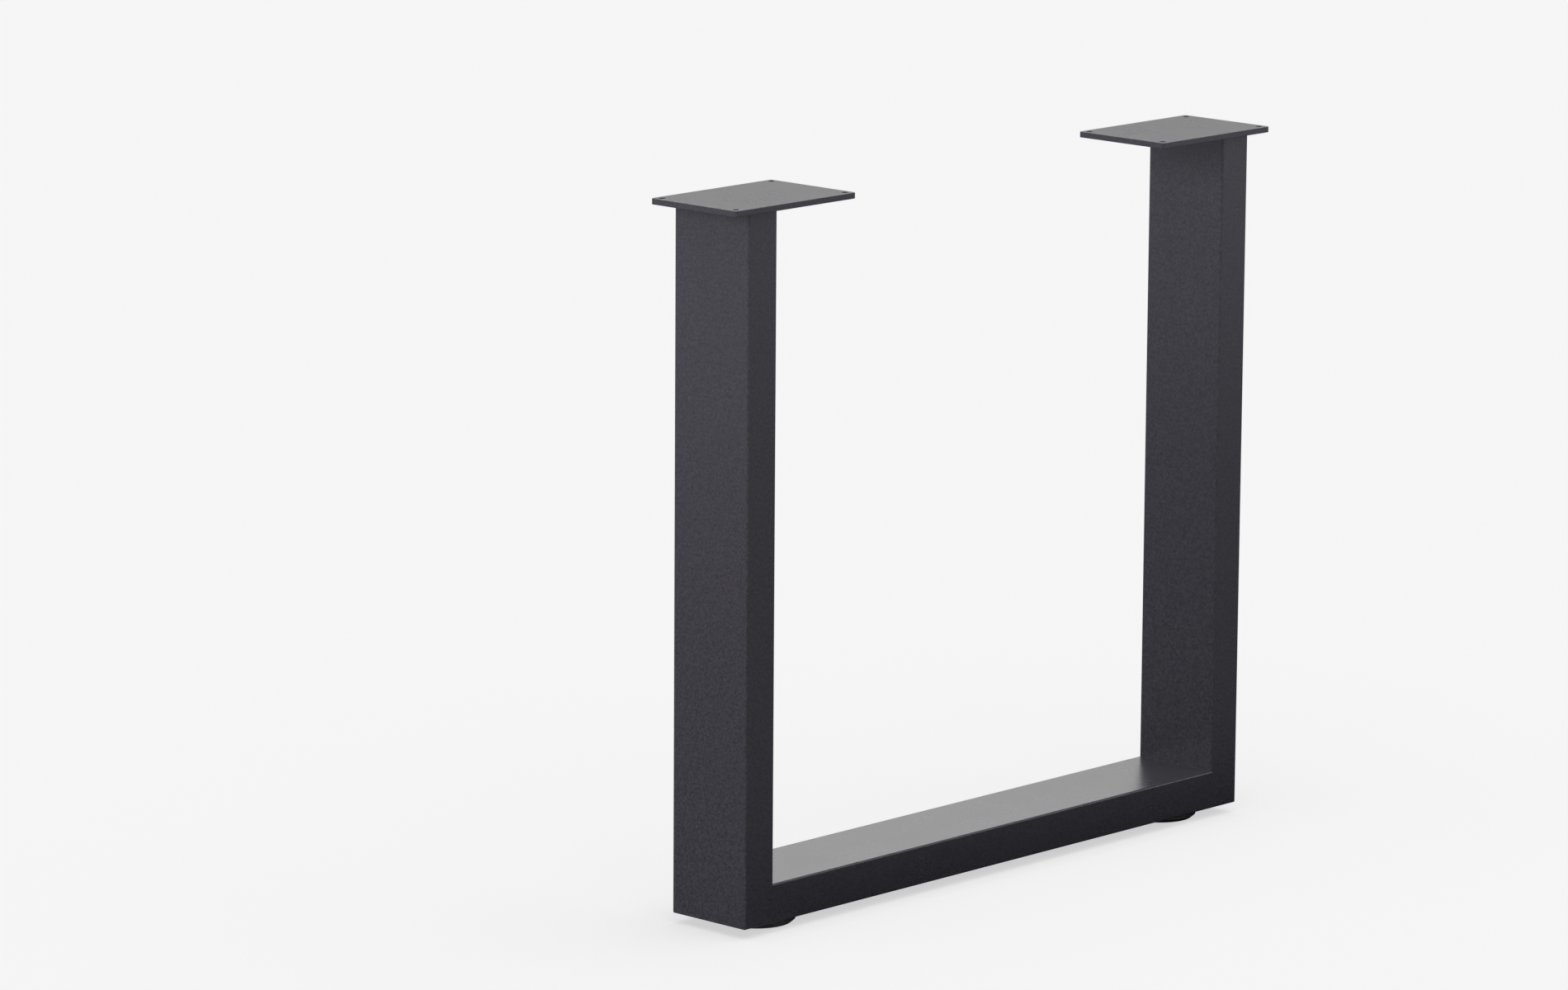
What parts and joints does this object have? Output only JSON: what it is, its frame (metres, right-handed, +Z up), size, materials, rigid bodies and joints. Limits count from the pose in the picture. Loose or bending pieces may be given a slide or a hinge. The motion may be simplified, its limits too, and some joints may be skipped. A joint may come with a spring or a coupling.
{
  "type": "u shaped table leg",
  "caption": "U shaped table leg of mitred rectangular steel tube, with a drilled flat plate on top of each upright and round levelling feet under the rail.",
  "frame": {"origin": "on the floor, under the middle of the rail", "axes": "+X along the rail from the left upright to the right one, +Y across the tube, +Z up to the table top"},
  "size_m": [0.802, 0.115, 0.7305],
  "materials": {
    "powder_coated_steel": "fine textured matte powder coat, anthracite black",
    "zinc_plated_steel": "bright zinc plating",
    "moulded_nylon": "moulded, matte black"
  },
  "bodies": {
    "frame": {"bottom_rail": "powder_coated_steel", "left_upright": "powder_coated_steel", "right_upright": "powder_coated_steel", "left_mounting_plate": "powder_coated_steel", "right_mounting_plate": "powder_coated_steel", "left_threaded_insert": "zinc_plated_steel", "right_threaded_insert": "zinc_plated_steel"},
    "left_foot": {"left_foot_pad": "moulded_nylon", "left_foot_stud": "zinc_plated_steel"},
    "right_foot": {"right_foot_pad": "moulded_nylon", "right_foot_stud": "zinc_plated_steel"}
  },
  "joints": [
    {"name": "left_foot_screw", "type": "slide", "parent": "frame", "child": "left_foot", "axis": [0, 0, -1], "range_m": [0, 0.012]},
    {"name": "right_foot_screw", "type": "slide", "parent": "frame", "child": "right_foot", "axis": [0, 0, -1], "range_m": [0, 0.012]}
  ]
}
